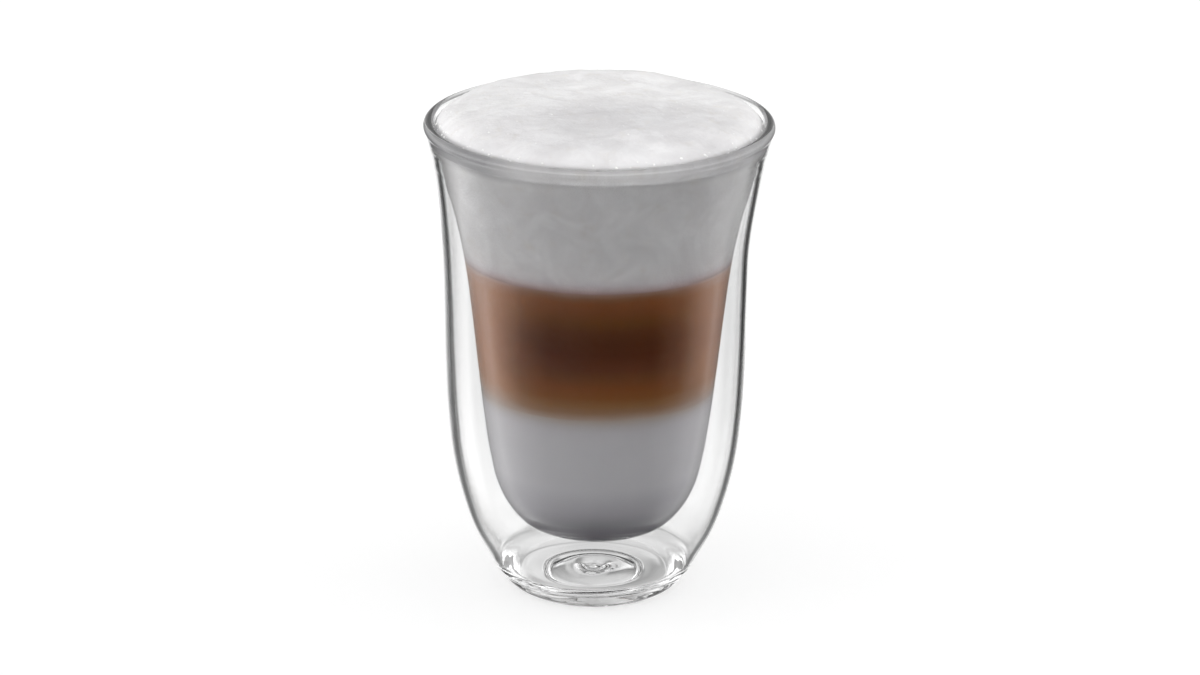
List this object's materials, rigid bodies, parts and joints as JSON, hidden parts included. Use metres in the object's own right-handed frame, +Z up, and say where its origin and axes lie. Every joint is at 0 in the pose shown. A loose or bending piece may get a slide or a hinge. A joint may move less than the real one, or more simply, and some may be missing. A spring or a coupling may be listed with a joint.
{
  "type": "layered latte in a double-walled glass",
  "caption": "Tall flared double-walled glass filled with a layered latte: milk, a coffee band and a crown of milk foam above the lip.",
  "frame": {"origin": "on the glass's axis at the height of the table it stands on", "axes": "+Z up along the glass's axis; the glass is round, so +X and +Y are free"},
  "size_m": [0.0856, 0.0856, 0.1249],
  "materials": {
    "glass": "clear, fire-polished",
    "milk": "opaque liquid behind glass",
    "coffee": "opaque brown liquid behind glass",
    "foam": "fine matt milk foam"
  },
  "bodies": {
    "root": {"glass": "glass", "milk": "milk", "coffee": "coffee", "foam": "foam"}
  },
  "joints": []
}
